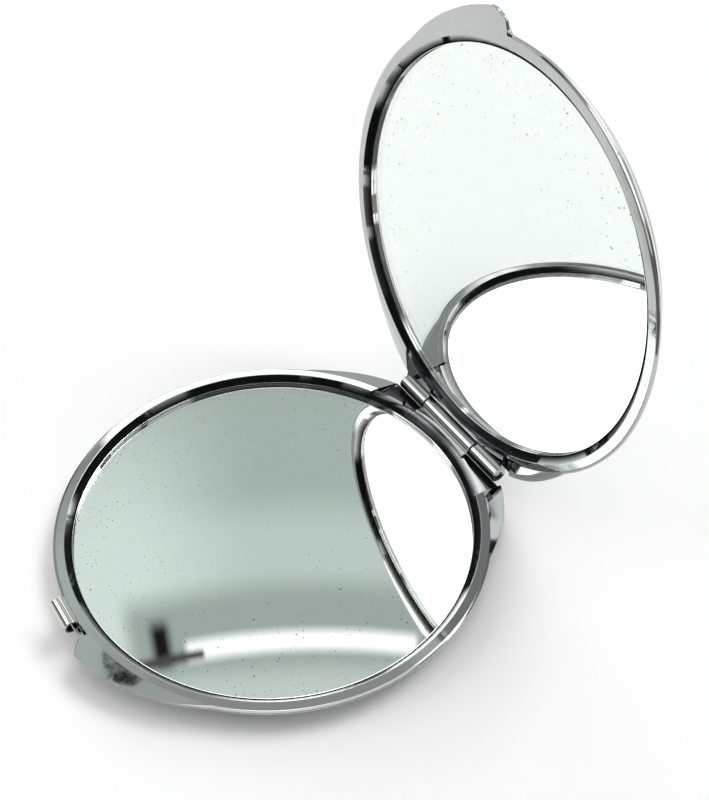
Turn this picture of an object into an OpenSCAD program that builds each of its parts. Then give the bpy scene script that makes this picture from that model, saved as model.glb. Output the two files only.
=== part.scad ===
// Compact mirror: two round chrome halves on a pin hinge, a glass mirror in each,
// a thumb tab on each front edge and a sprung rolled catch at the front.
// Lengths are in millimetres and angles in degrees.
// The origin is the middle of the lower half's outside face, on the table.
// +Z is up, +Y points to the hinge, and the catch is at the front, -Y.

/* [Halves] */
// Radius of each half at its widest edge
ring_radius = 33; // [28:0.5:40]
// Height of one half from its outside face to its rim face
half_thickness = 4.25; // [3.8:0.05:6]
// Gap between the two rim faces when the mirror is shut
parting_gap = 0.1; // [0.06:0.01:0.3]
// Width of the rim from its widest edge to its inner edge
rim_width = 1.65; // [1.4:0.05:2.4]
// Width of the bright chamfer round the outside of the rim face
chamfer_width = 0.35; // [0.2:0.05:0.5]
// Depth of that chamfer
chamfer_depth = 0.2; // [0.1:0.05:0.5]
// Height of the upright band under the chamfer
band_height = 0.3; // [0.1:0.05:0.5]
// How far the outside bevel leads in by the outside face
bevel_inset = 3.3; // [2.2:0.1:4]
// Break round the edge of the outside face
face_break = 0.25; // [0.1:0.05:0.5]
// Width and depth of the slope inside the rim
lip_bevel = 0.85; // [0.5:0.05:1.1]

/* [Mirrors] */
// Depth of the glass face below the rim face
glass_depth = 0.9; // [0.6:0.05:1.2]
// Thickness of the glass
glass_thickness = 1.3; // [0.9:0.1:1.8]
// Play between the glass and the wall of its seat
glass_play = 0.15; // [0.05:0.05:0.4]
// Ground chamfer round the front edge of the glass
glass_chamfer = 0.15; // [0.05:0.05:0.3]
// Thickness of the silvering with its backing paint
silvering_thickness = 0.1; // [0.05:0.01:0.2]
// How far the pad under the mirror stays in from the edge of the glass
pad_inset = 1.4; // [0.8:0.1:3]

/* [Thumb tabs] */
// How far a tab reaches beyond the edge of its half
tab_reach = 3.1; // [2:0.1:4]
// Angle from the X axis at which a tab starts to grow
tab_start = 45; // [35:1:55]
// Angle from the X axis of the end of a tab, next to the catch
tab_end = 83.3; // [80:0.1:84]
// Thickness of a tab at its outer edge
tab_edge = 0.5; // [0.35:0.05:0.8]
// Depth at which the underside of a tab meets the outside bevel
tab_root = 1.8; // [1.2:0.1:2.4]
// Break along the upper edge of a tab
tab_break = 0.12; // [0.05:0.01:0.2]

/* [Shoulders] */
// How far a hinge shoulder reaches beyond the edge of its half
shoulder_reach = 3.1; // [2:0.1:3.4]
// Angle from the X axis at which a shoulder starts to grow
shoulder_start = 42; // [38:0.5:50]
// Distance of a shoulder's end face from the middle of the hinge
shoulder_offset = 13.8; // [13:0.1:16]
// Drop of the shoulder's sloped top at its outer edge
shoulder_drop = 0.85; // [0.5:0.05:1]
// Thickness of a shoulder at its outer edge
shoulder_edge = 0.6; // [0.4:0.05:0.9]
// Depth at which the underside of a shoulder meets the outside bevel
shoulder_root = 2.4; // [1.8:0.1:3]
// Drop of the rim face between the shoulders
ridge_drop = 0.4; // [0.2:0.05:0.6]
// Width of the low rim between the shoulders, from the rim's inner edge
ridge_width = 1.05; // [0.8:0.05:1.2]

/* [Hinge] */
// Distance of the hinge axis beyond the edge of the halves
axis_offset = 1.12; // [1.05:0.01:1.6]
// How far the middle of the hinge lies to the -X side of the middle of the halves
hinge_shift = 0.85; // [0:0.05:1.5]
// Radius of the hinge barrel
barrel_radius = 1.3; // [1.1:0.05:1.6]
// Length of the middle knuckle, on the lower half
middle_knuckle = 12.2; // [8:0.1:14]
// Length of each outer knuckle, on the lid
outer_knuckle = 6.25; // [4:0.05:6.8]
// Gap between neighbouring knuckles
knuckle_gap = 0.25; // [0.1:0.05:0.4]
// Radial gap round a knuckle where it turns past the other half
barrel_play = 0.3; // [0.2:0.05:0.5]
// Radius of the hinge pin
pin_radius = 0.6; // [0.4:0.05:0.8]
// Radial running play of the pin in the lid's knuckles
pin_play = 0.05; // [0.02:0.01:0.1]
// How far each end of the pin lies inside its knuckle
pin_setback = 0.2; // [0.1:0.05:0.5]
// Thickness of the flat plate that carries a knuckle
plate_thickness = 1.15; // [0.9:0.05:1.2]
// Opening angle of the lid in the rest pose, from shut
open_angle = 93.6; // [0:0.1:180]

/* [Catch] */
// Length of the rolled catch
roll_length = 5; // [3:0.1:6]
// Outer radius of the rolled catch
roll_radius = 1.05; // [0.8:0.05:1.3]
// Thickness of the spring strip
strip_thickness = 0.4; // [0.25:0.05:0.45]
// Height of the roll's middle above the rim face
roll_rise = 1; // [0.7:0.05:1.4]
// Gap between the roll and the lid's edge when shut
roll_play = 0.17; // [0.1:0.01:0.3]
// Gap between the strip and the outside of the lower half
strip_play = 0.2; // [0.12:0.01:0.3]
// Length of the strip's foot on the floor of the lower half
foot_length = 4.2; // [3.4:0.1:6]
// Radius of the rivet's shank
rivet_radius = 0.6; // [0.4:0.05:0.8]
// Radius of the rivet's head
rivet_head_radius = 1.1; // [0.9:0.05:1.4]
// Thickness of the rivet's head
rivet_head = 0.15; // [0.1:0.01:0.25]
// Space left between the rivet's head and the mirror's back
rivet_cover = 0.05; // [0.03:0.01:0.2]

/* [Hidden] */
// Overrun of every cut, and how deep joined pieces lie in each other
cut = 0.3;
// How far a loft's upper face lies under the rim face, so that the faces don't coincide
loft_sink = 0.02;
// Wall left under the rivet's blind hole
rivet_floor = 0.5;
// Gap between the fixed foot and the turning strip
foot_gap = 0.1;
// Space round the foot in the pad's window
window_play = 0.5;
// Width of the seam where the roll's edge meets the strip
seam_width = 0.12;
// Drop of a shoulder's top where it starts
shoulder_first_drop = 0.3;
// Depth of the floor between the shoulders
block_depth = 1.1;
// How far the back of that floor lies in from the shoulders' corners
block_setback = 0.2;
// How far the floor between the shoulders runs into each shoulder
block_lap = 0.3;
// Distance of the flex line behind the wall's inner face
flex_setback = 0.3;

smooth = 180;
small_smooth = 48;

// Outline of a tab: share of its angle, share of its reach
tab_outline_shares = [
    [-0.11, -0.122], [0, 0], [0.13, 0.145], [0.26, 0.29], [0.39, 0.435], [0.52, 0.58],
    [0.65, 0.725], [0.78, 0.87], [0.86, 0.963], [0.895, 0.998], [0.913, 0.985],
    [0.93, 0.88], [0.95, 0.72], [0.97, 0.57], [0.99, 0.42], [1, 0.36],
];
// Outline of a shoulder: share of its angle, share of its reach
shoulder_outline_shares = [
    [-0.12, -0.11], [0, 0.02], [0.12, 0.14], [0.25, 0.27], [0.38, 0.42], [0.5, 0.57],
    [0.6, 0.69], [0.7, 0.79], [0.81, 0.88], [0.91, 0.95], [1, 1],
];

// Rim and seat
rim_inner = ring_radius - rim_width;
seat_radius = rim_inner - lip_bevel;
rim_outer = ring_radius - chamfer_width;
band_depth = chamfer_depth + band_height;
bevel_height = half_thickness - band_depth;
face_radius = ring_radius - bevel_inset;
bevel_angle = atan(bevel_inset / bevel_height);
axis_z = half_thickness + parting_gap / 2;
axis_y = ring_radius + axis_offset;
low_inner = rim_inner - ridge_drop;
low_outer = rim_inner + ridge_width;

// Mirror stack, from the floor up
pad_thickness = strip_thickness + rivet_head + rivet_cover;
floor_thickness =
    half_thickness - glass_depth - glass_thickness - silvering_thickness - pad_thickness;
silvering_z = floor_thickness + pad_thickness;
glass_z = silvering_z + silvering_thickness;
glass_radius = seat_radius - glass_play;
pad_radius = glass_radius - pad_inset;

// Hinge
base_knuckles = [[-middle_knuckle / 2, middle_knuckle / 2]];
outer_first = middle_knuckle / 2 + knuckle_gap;
outer_last = outer_first + outer_knuckle;
lid_knuckles = [[-outer_last, -outer_first], [outer_first, outer_last]];
pin_length = 2 * (outer_last - pin_setback);
plate_inner = low_outer - cut;
shoulder_corner = sqrt(
    pow(ring_radius + shoulder_reach, 2) - pow(shoulder_offset + hinge_shift, 2)
);
block_back = shoulder_corner - block_setback;
block_edge = shoulder_drop + shoulder_edge;

// Catch
strip_inner = ring_radius + strip_play;
strip_outer = strip_inner + strip_thickness;
roll_y = strip_outer + cut;
roll_z = half_thickness + roll_rise;
roll_bore = roll_radius - strip_thickness;
relief_y = roll_y - roll_radius - roll_play;
flex_y = seat_radius + flex_setback;
flex_z = floor_thickness + strip_thickness / 2;
foot_first = seat_radius + flex_setback - strip_thickness / 2 - foot_gap;
foot_last = foot_first - foot_length;
rivet_y = foot_first - foot_length / 2;

function mix(first, last, share) = first + (last - first) * share;
// Radius of the outside bevel at a depth below the rim face
function bevel_radius(depth) =
    ring_radius - max(0, depth - band_depth) * bevel_inset / bevel_height;
// Distance from the axis of a line outside the bevel, at a height
function beside_bevel(height, gap) =
    bevel_radius(half_thickness - height) + gap / cos(bevel_angle);
// Height at which the strip turns from upright to the bevel's slope
function strip_corner(gap) = half_thickness - band_depth - gap * tan(bevel_angle / 2);
function polar(radius, angle, depth) =
    [radius * cos(angle), radius * sin(angle), half_thickness - depth];

// Joins rows of points, each a closed section, into one solid
module loft(rows) {
    count = len(rows[0]);
    last = len(rows) - 1;
    sides = [
        for (i = [0 : last - 1], j = [0 : count - 1])
            let (k = (j + 1) % count, here = i * count, next = here + count)
                each [[here + j, here + k, next + k], [here + j, next + k, next + j]]
    ];
    first_cap = [for (j = [count - 1 : -1 : 0]) j];
    last_cap = [for (j = [0 : count - 1]) last * count + j];
    polyhedron(
        points = [for (row = rows) each row],
        faces = concat(sides, [first_cap, last_cap])
    );
}

// Thumb tab, on the +X side of the front
module tab() {
    root_radius = bevel_radius(tab_root) - cut;
    loft([
        for (share = tab_outline_shares)
            let (
                angle = -mix(tab_start, tab_end, share[0]),
                edge = ring_radius + tab_reach * share[1]
            )
                [
                    polar(ring_radius - rim_width / 2, angle, loft_sink),
                    polar(edge - tab_break, angle, loft_sink),
                    polar(edge, angle, loft_sink + tab_break),
                    polar(edge, angle, tab_edge),
                    polar(root_radius, angle, tab_root),
                ]
    ]);
}

// Hinge shoulder, on the +X side; its last section lies in its flat end face, at end_x
module shoulder(end_x) {
    root_radius = bevel_radius(shoulder_root) - cut;
    start = acos(cos(shoulder_start) + (end_x - shoulder_offset) / ring_radius);
    loft([
        for (share = shoulder_outline_shares)
            let (
                edge = ring_radius + shoulder_reach * share[1],
                drop = mix(shoulder_first_drop, shoulder_drop, share[0]),
                section = [
                    [root_radius, shoulder_root],
                    [edge, drop + shoulder_edge],
                    [edge, drop],
                    [rim_outer, loft_sink],
                    [ring_radius - rim_width / 2, loft_sink],
                ]
            )
                [
                    for (point = section)
                        let (end = acos(end_x / point[0]))
                            polar(point[0], mix(start, end, share[0]), point[1])
                ]
    ]);
}

// Floor between the shoulders, under the knuckles
module hinge_block() {
    width = 2 * (shoulder_offset + block_lap);
    rotate([90, 0, 90])
        translate([0, 0, -width / 2])
            linear_extrude(height = width)
                polygon([
                    [low_inner - rim_width, half_thickness - block_depth],
                    [block_back, half_thickness - block_depth],
                    [block_back, half_thickness - block_edge],
                    [low_inner - rim_width, half_thickness - shoulder_root],
                ]);
}

// Bar along X with a rectangular section
module span(first, last, front, back, bottom, top) {
    translate([first, front, bottom])
        cube([last - first, back - front, top - bottom]);
}

// Knuckles on their plates, from and to the given places along X from the hinge's middle
module knuckles(places, middle) {
    for (place = places) {
        translate([0, 0, half_thickness - plate_thickness])
            linear_extrude(height = plate_thickness)
                difference() {
                    translate([middle + place[0], 0])
                        square([place[1] - place[0], axis_y]);
                    circle(r = plate_inner, $fn = smooth);
                }
        translate([middle + place[0], axis_y, axis_z])
            rotate([0, 90, 0])
                cylinder(r = barrel_radius, h = place[1] - place[0], $fn = small_smooth);
    }
}

module hinge_bore(radius, middle) {
    translate([middle - outer_last - cut, axis_y, axis_z])
        rotate([0, 90, 0])
            cylinder(r = radius, h = 2 * (outer_last + cut), $fn = small_smooth);
}

// One half without its knuckles: ring, floor, tab, shoulders and mirror seat.
// The place of the hinge's middle along X is middle, since the lid is turned over.
module half(middle) {
    difference() {
        union() {
            rotate_extrude($fn = smooth)
                polygon([
                    [0, 0],
                    [face_radius - face_break, 0],
                    [bevel_radius(half_thickness - face_break), face_break],
                    [ring_radius, half_thickness - band_depth],
                    [ring_radius, half_thickness - chamfer_depth],
                    [rim_outer, half_thickness],
                    [0, half_thickness],
                ]);
            tab();
            shoulder(shoulder_offset + middle);
            mirror([1, 0, 0])
                shoulder(shoulder_offset - middle);
            translate([middle, 0, 0])
                hinge_block();
        }
        // Seat of the mirror, and the slope inside the rim
        translate([0, 0, floor_thickness])
            cylinder(r = seat_radius, h = half_thickness, $fn = smooth);
        translate([0, 0, half_thickness - lip_bevel])
            cylinder(
                r1 = seat_radius,
                r2 = rim_inner + cut,
                h = lip_bevel + cut,
                $fn = smooth
            );
        // Low rim between the shoulders
        span(
            middle - shoulder_offset, middle + shoulder_offset,
            seat_radius / 2, axis_y + axis_offset,
            half_thickness - ridge_drop, half_thickness + cut
        );
        // Hollow over the floor between the shoulders
        translate([0, 0, half_thickness - block_depth])
            linear_extrude(height = half_thickness)
                difference() {
                    translate([middle - shoulder_offset, 0])
                        square([2 * shoulder_offset, axis_y + axis_offset]);
                    circle(r = low_outer, $fn = smooth);
                }
        // Room for the other half's knuckles
        translate([middle - shoulder_offset, axis_y, axis_z])
            rotate([0, 90, 0])
                cylinder(
                    r = barrel_radius + barrel_play,
                    h = 2 * shoulder_offset,
                    $fn = small_smooth
                );
    }
}

// Puts a lid piece, built like its lower twin, into the opened lid
module in_lid() {
    translate([0, axis_y, axis_z])
        rotate([-open_angle, 0, 0])
            translate([0, -axis_y, axis_z])
                rotate([0, 180, 0])
                    children();
}

module glass() {
    translate([0, 0, glass_z])
        rotate_extrude($fn = smooth)
            polygon([
                [0, 0],
                [glass_radius, 0],
                [glass_radius, glass_thickness - glass_chamfer],
                [glass_radius - glass_chamfer, glass_thickness],
                [0, glass_thickness],
            ]);
}

module silvering() {
    translate([0, 0, silvering_z])
        cylinder(r = glass_radius - glass_chamfer, h = silvering_thickness, $fn = smooth);
}

module pad() {
    translate([0, 0, floor_thickness])
        cylinder(r = pad_radius, h = pad_thickness, $fn = smooth);
}

module base_shell() {
    color([0.74, 0.76, 0.78])
        difference() {
            union() {
                half(-hinge_shift);
                knuckles(base_knuckles, -hinge_shift);
            }
            hinge_bore(pin_radius, -hinge_shift);
            // Slot in the front wall for the spring strip
            span(
                -roll_length / 2 - strip_play, roll_length / 2 + strip_play,
                -ring_radius, -foot_first + cut,
                floor_thickness - strip_play, floor_thickness + strip_thickness + strip_play
            );
            translate([0, -rivet_y, rivet_floor])
                cylinder(r = rivet_radius, h = half_thickness, $fn = small_smooth);
        }
}

module lid_shell() {
    color([0.74, 0.76, 0.78])
        in_lid()
            difference() {
                union() {
                    half(hinge_shift);
                    knuckles(lid_knuckles, hinge_shift);
                }
                hinge_bore(pin_radius + pin_play, hinge_shift);
                // Flat on the front edge where the roll lies when shut
                span(
                    -roll_length / 2 - cut, roll_length / 2 + cut,
                    -ring_radius - cut, -relief_y,
                    half_thickness - roll_rise - chamfer_depth, half_thickness + cut
                );
            }
}

module base_mirror_glass() {
    color([0.72, 0.86, 0.82, 0.5])
        glass();
}

module base_mirror_silvering() {
    color([0.85, 0.87, 0.88])
        silvering();
}

module base_mirror_pad() {
    color([0.9, 0.9, 0.88])
        difference() {
            pad();
            // Window for the foot of the catch
            span(
                -roll_length / 2 - window_play, roll_length / 2 + window_play,
                -ring_radius, -foot_last + window_play,
                0, half_thickness
            );
        }
}

module lid_mirror_glass() {
    color([0.72, 0.86, 0.82, 0.5])
        in_lid()
            glass();
}

module lid_mirror_silvering() {
    color([0.85, 0.87, 0.88])
        in_lid()
            silvering();
}

module lid_mirror_pad() {
    color([0.9, 0.9, 0.88])
        in_lid()
            pad();
}

module hinge_pin() {
    color([0.6, 0.62, 0.64])
        translate([-hinge_shift - pin_length / 2, axis_y, axis_z])
            rotate([0, 90, 0])
                cylinder(r = pin_radius, h = pin_length, $fn = small_smooth);
}

// Rolled catch with the strip that runs down outside the front wall to the flex line
module latch_roll() {
    slot_top = floor_thickness + strip_thickness;
    far_gap = strip_play + strip_thickness;
    color([0.7, 0.72, 0.75])
        rotate([90, 0, 90])
            translate([0, 0, -roll_length / 2])
                linear_extrude(height = roll_length)
                    union() {
                        difference() {
                            translate([-roll_y, roll_z])
                                circle(r = roll_radius, $fn = small_smooth);
                            translate([-roll_y, roll_z])
                                circle(r = roll_bore, $fn = small_smooth);
                            // Seam beside the strip
                            translate([-strip_outer - seam_width, roll_z - roll_radius])
                                square([seam_width, roll_radius]);
                        }
                        polygon([
                            [-flex_y, slot_top],
                            [-beside_bevel(slot_top, strip_play), slot_top],
                            [-strip_inner, strip_corner(strip_play)],
                            [-strip_inner, roll_z - roll_bore],
                            [-strip_outer, roll_z - roll_radius + strip_thickness / 2],
                            [-strip_outer, strip_corner(far_gap)],
                            [-beside_bevel(floor_thickness, far_gap), floor_thickness],
                            [-flex_y, floor_thickness],
                        ]);
                        translate([-flex_y, flex_z])
                            circle(r = strip_thickness / 2, $fn = small_smooth);
                    }
}

// The part of the strip that is held still on the floor, under the mirror
module latch_foot() {
    color([0.7, 0.72, 0.75])
        difference() {
            span(
                -roll_length / 2, roll_length / 2, -foot_first, -foot_last,
                floor_thickness, floor_thickness + strip_thickness
            );
            translate([0, -rivet_y, 0])
                cylinder(r = rivet_radius, h = half_thickness, $fn = small_smooth);
        }
}

module latch_rivet() {
    color([0.65, 0.67, 0.7])
        translate([0, -rivet_y, 0]) {
            translate([0, 0, rivet_floor])
                cylinder(
                    r = rivet_radius,
                    h = floor_thickness + strip_thickness - rivet_floor + rivet_head / 2,
                    $fn = small_smooth
                );
            translate([0, 0, floor_thickness + strip_thickness])
                cylinder(r = rivet_head_radius, h = rivet_head, $fn = small_smooth);
        }
}

base_shell();
base_mirror_glass();
base_mirror_silvering();
base_mirror_pad();
lid_shell();
lid_mirror_glass();
lid_mirror_silvering();
lid_mirror_pad();
hinge_pin();
latch_roll();
latch_foot();
latch_rivet();
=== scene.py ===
# %% [markdown]
# # A compact mirror
#
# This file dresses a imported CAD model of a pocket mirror. The model has two round halves cast in
# zinc and chromed, a glass mirror in each, a pin hinge between them, and a sprung rolled catch.
# The CAD model stays the fixed frame: every piece here sits where the CAD says, rides on a CAD
# body, and stands for the CAD node that it covers. First the frame is loaded and its box is kept.

# %% Load the frame
import math

import bpy
import numpy as np
from mathutils import Matrix, Vector


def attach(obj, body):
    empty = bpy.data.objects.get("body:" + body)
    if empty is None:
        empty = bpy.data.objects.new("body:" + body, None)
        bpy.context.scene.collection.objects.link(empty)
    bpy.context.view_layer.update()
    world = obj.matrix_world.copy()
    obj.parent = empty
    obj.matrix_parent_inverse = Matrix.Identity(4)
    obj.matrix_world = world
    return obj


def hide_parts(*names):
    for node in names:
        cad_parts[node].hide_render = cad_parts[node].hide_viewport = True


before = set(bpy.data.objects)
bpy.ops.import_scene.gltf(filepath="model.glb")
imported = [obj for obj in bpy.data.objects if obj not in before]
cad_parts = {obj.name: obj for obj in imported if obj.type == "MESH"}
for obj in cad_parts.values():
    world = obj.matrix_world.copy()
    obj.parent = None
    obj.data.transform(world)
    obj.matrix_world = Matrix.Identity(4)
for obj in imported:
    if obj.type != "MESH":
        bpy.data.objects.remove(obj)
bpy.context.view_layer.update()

# %% [markdown]
# ## Sizes
#
# A chromed casting is all reflections, so the flat facets of a CAD solid would show as a row of
# broken highlights. The skins below are worked out again as smooth surfaces from the same driving
# sizes. Lengths are in millimetres. Depths are measured down from the inner edge of a half's rim.
# The rim isn't quite flat: it falls outwards by about four degrees. So small a fall is hard to see
# by itself, but it turns what the chrome reflects by eight degrees, and that is plain to see.

# %% Driving sizes of one half
MM = 0.001
RING_RADIUS = 33.0
HALF_THICKNESS = 4.25
CHAMFER_WIDTH = 0.35
CHAMFER_DEPTH = 0.26
BAND_DEPTH = 0.5
BEVEL_INSET = 3.3
RIM_INNER = 31.35
RIM_FALL = 0.09
CHAMFER_LEAST = 0.05
SEAT_RADIUS = 30.5
LIP_DEPTH = 0.85
SEAT_DEPTH = 2.9

CHAMFER_START = RIM_FALL + CHAMFER_LEAST
FACE_RADIUS = RING_RADIUS - BEVEL_INSET
RIM_OUTER = RING_RADIUS - CHAMFER_WIDTH


def bevel_radius(depth):
    """Radius of the outside bevel: it shrinks in a straight line below the upright band."""
    slope = BEVEL_INSET / (HALF_THICKNESS - BAND_DEPTH)
    return RING_RADIUS - np.maximum(0, depth - BAND_DEPTH) * slope


print("bevel radius half way down:", round(float(bevel_radius(HALF_THICKNESS / 2)), 2))

# %% Driving sizes of the tab, the shoulders and the hinge
TAB_REACH = 3.1
TAB_START, TAB_END = 45.0, 83.3
TAB_EDGE = 0.5
TAB_ROOT = 1.8
TAB_BREAK = 0.12
SHOULDER_REACH = 3.1
SHOULDER_START = 42.0
SHOULDER_OFFSET = 13.8
SHOULDER_DROP = 0.85
SHOULDER_EDGE = 0.6
SHOULDER_ROOT = 2.4
LOW_INNER, LOW_OUTER = 30.95, 32.4
LOW_DEPTH = 0.4
POCKET_DEPTH = 1.1
HINGE_SHIFT = 0.85
AXIS_Y, AXIS_Z = 34.12, 4.3
OPEN_ANGLE = math.radians(93.6)

SHOULDER_CORNER = math.sqrt(
    (RING_RADIUS + SHOULDER_REACH) ** 2 - (SHOULDER_OFFSET + HINGE_SHIFT) ** 2
)
POCKET_PAST_CORNER = 0.3
POCKET_BACK = SHOULDER_CORNER + POCKET_PAST_CORNER
print("hinge axis at y, z:", AXIS_Y, AXIS_Z, "and pocket back at y:", round(POCKET_BACK, 2))

# %% [markdown]
# ## Tools for smooth surfaces
#
# Every skin is a grid of points: one row after another round the object, and in each row the
# corners of the section there. A real casting has no perfectly sharp edge. Its edges are small
# curves, and on chrome each of them draws a thin bright or dark line. So each corner of a section
# is replaced by a short curve, for all rows at once, and the same is done where one row of
# sections ends and another begins.

# %% Curves through corners
TINY = 1e-9


def mix(first, last, share):
    return first + (last - first) * share


def smooth_step(value):
    """0 below 0, 1 above 1, and 3v^2 - 2v^3 in between."""
    v = np.clip(value, 0, 1)
    return v * v * (3 - 2 * v)


def corner_curve(before, corner, after, radius, steps):
    """A quadratic curve in place of a corner, p(t) = (1-t)^2 a + 2t(1-t) c + t^2 b. The points a
    and b lie on the two sides, a radius from the corner c, or 0.45 of the side if that is less."""

    def towards(other):
        side = other - corner
        length = np.linalg.norm(side, axis=-1, keepdims=True)
        return corner + side * np.minimum(radius / np.maximum(length, TINY), 0.45)

    t = np.linspace(0, 1, steps).reshape(-1, *[1] * corner.ndim)
    start, end = towards(before), towards(after)
    return (1 - t) ** 2 * start + 2 * t * (1 - t) * corner + t * t * end


def rounded_sections(corners, radii, steps=6):
    """Rounds each inner corner of every section. corners is (rows, corners, 3)."""
    curves = [
        corner_curve(corners[:, k - 1], corners[:, k], corners[:, k + 1], radius, steps)
        for k, radius in enumerate(radii, start=1)
    ]
    parts = [corners[:, :1]] + [c.transpose(1, 0, 2) for c in curves] + [corners[:, -1:]]
    return np.concatenate(parts, axis=1)


def rounded_rows(grid, marks, radius, steps=5):
    """Rounds the grid across its rows at the marked rows, as rounded_sections does along them."""
    parts, done = [], 0
    for k in marks:
        after = grid[(k + 1) % len(grid)]
        parts += [grid[done:k], corner_curve(grid[k - 1], grid[k], after, radius, steps)]
        done = k + 1
    return np.concatenate(parts + [grid[done:]])


def through(x, places, values):
    """A smooth curve through points: cubic Hermite pieces whose slopes are central differences."""
    places, values = np.array(places), np.array(values)
    slopes = np.gradient(values, places)
    k = np.clip(np.searchsorted(places, x) - 1, 0, len(places) - 2)
    width = places[k + 1] - places[k]
    t = (x - places[k]) / width
    return (
        (1 + 2 * t) * (1 - t) ** 2 * values[k]
        + t * (1 - t) ** 2 * width * slopes[k]
        + t * t * (3 - 2 * t) * values[k + 1]
        + t * t * (t - 1) * width * slopes[k + 1]
    )


print("a right corner rounded by 0.3:", corner_curve(
    np.array([1.0, 0.0]), np.array([0.0, 0.0]), np.array([0.0, 1.0]), 0.3, 3).round(3).tolist())

# %% [markdown]
# A grid becomes a mesh in four moves. Points that coincide, as at a pole or where two sections
# touch, are merged. Squares that have lost a corner become triangles. The signed volume says
# whether the faces point outwards, and turns them if not. Last come the normals: each vertex takes
# the sum of its faces' normals weighted by area, so a wide flat face stays flat in the mirror
# finish, and all of the turning happens in the narrow curve beside it.

# %% From grid to mesh
MERGE = 1e-5


def grid_quads(rows, columns, closed):
    """Squares between each row and the next one. A closed grid also joins its last row to its first."""
    index = np.arange(rows * columns).reshape(rows, columns)
    if closed:
        index = np.vstack([index, index[:1]])
    corners = [index[:-1, :-1], index[1:, :-1], index[1:, 1:], index[:-1, 1:]]
    return np.stack(corners, axis=-1).reshape(-1, 4)


def merged(points, quads):
    """Merges points that coincide, and returns the squares and triangles that still have an area."""
    keys, kept, index = np.unique(
        np.round(points / MERGE), axis=0, return_index=True, return_inverse=True)
    quads = index.reshape(-1)[quads]
    same = quads == np.roll(quads, -1, axis=1)
    count = same.sum(axis=1)
    crossed = (quads[:, 0] == quads[:, 2]) | (quads[:, 1] == quads[:, 3])
    whole = quads[(count == 0) & ~crossed]
    short = (count == 1) & ~crossed
    lost = np.argmax(same[short], axis=1)
    order = (lost[:, None] + np.arange(1, 4)) % 4
    triangles = np.take_along_axis(quads[short], order, axis=1)
    return keys * MERGE, kept, whole, triangles


def area_normals(points, faces):
    """For each face, half the cross product of its two diagonals, or of its two sides."""
    a, b, c = (points[faces[:, k]] for k in range(3))
    d = points[faces[:, 3]] if faces.shape[1] == 4 else a
    return np.cross(c - a, d - b) / 2


def make_piece(name, grids, shade_and_wear=None):
    """A mesh object from one or more grids, each a tuple of points (rows, columns, 3) in mm and
    whether it is closed across its rows. Its place is in its mesh and its object is at the origin.
    The last argument gives each point a share from 0 to 1 that darkens its finish: on chrome mostly
    painted shade, and on the silver its lifting near the edge."""
    points, quads, start = [], [], 0
    for grid, closed in grids:
        rows, columns = grid.shape[:2]
        points.append(grid.reshape(-1, 3))
        quads.append(grid_quads(rows, columns, closed) + start)
        start += rows * columns
    points, kept, whole, triangles = merged(np.concatenate(points), np.concatenate(quads))
    kinds = [faces for faces in (whole, triangles) if len(faces)]
    normals = [area_normals(points, faces) for faces in kinds]
    volume = sum((points[f[:, 0]] * n).sum() for f, n in zip(kinds, normals)) / 3
    turn = 1 if volume > 0 else -1
    smooth = np.zeros_like(points)
    for faces, normal in zip(kinds, normals):
        for k in range(faces.shape[1]):
            np.add.at(smooth, faces[:, k], turn * normal)
    smooth /= np.maximum(np.linalg.norm(smooth, axis=1, keepdims=True), TINY)
    mesh = bpy.data.meshes.new(name)
    faces = [face for kind in kinds for face in kind[:, ::turn].tolist()]
    mesh.from_pydata((points * MM).tolist(), [], faces)
    mesh.polygons.foreach_set("use_smooth", np.ones(len(faces), bool))
    mesh.normals_split_custom_set_from_vertices(smooth.tolist())
    # The points' share of painted shade on chrome, or of lifted silver, kept as an attribute.
    groove = mesh.attributes.new("shade_and_wear", "FLOAT", "POINT")
    depths = np.zeros(len(points)) if shade_and_wear is None else shade_and_wear.reshape(-1)[kept]
    groove.data.foreach_set("value", depths.astype(np.float32))
    piece = bpy.data.objects.new(name, mesh)
    bpy.context.scene.collection.objects.link(piece)
    print(f"{name}: {len(points)} points, {len(faces)} faces, {abs(volume):.1f} mm3")
    return piece


# %% [markdown]
# ## The skin of one half
#
# Each half is a shallow dish. Seen in section from the outside in, it has the outside face, the
# long bevel, a narrow upright band, a chamfer, the flat rim, the slope inside the rim, and the wall
# and floor of the mirror's seat. It could be lathed, but the tab and the two hinge shoulders grow
# out of the band, and a low pocket lies between the shoulders. So the section keeps the same
# corners all the way round, and only their places change. One grid then makes the whole skin, with
# no joint between the ring and what grows out of it.

# %% Sections of the plain ring and the tab
SLOT_DEPTHS = (3.1, 2.3)
SLOT_FLOOR = 30.62
PLAIN_SLOT_DEPTHS = (3.1, 2.5)
NOTCH_Y = 32.68
LOW_SHARE = (LOW_OUTER - RIM_INNER) / (RIM_OUTER - RIM_INNER)
CORNER_RADII = [0.25, 0.03, 0.03, 0.03, 0.03, 0.12, 0.09, 0.09, 0.09, 0.04, 0.06, 0.06, 0.1]


def polar(radius, angle, depth):
    """Points (rows, corners, 3) from radius, angle in degrees from +X, and depth below the rim."""
    radius, angle, depth = np.broadcast_arrays(radius, np.radians(angle), depth)
    height = HALF_THICKNESS - depth
    return np.stack([radius * np.cos(angle), radius * np.sin(angle), height], axis=-1)


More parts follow.
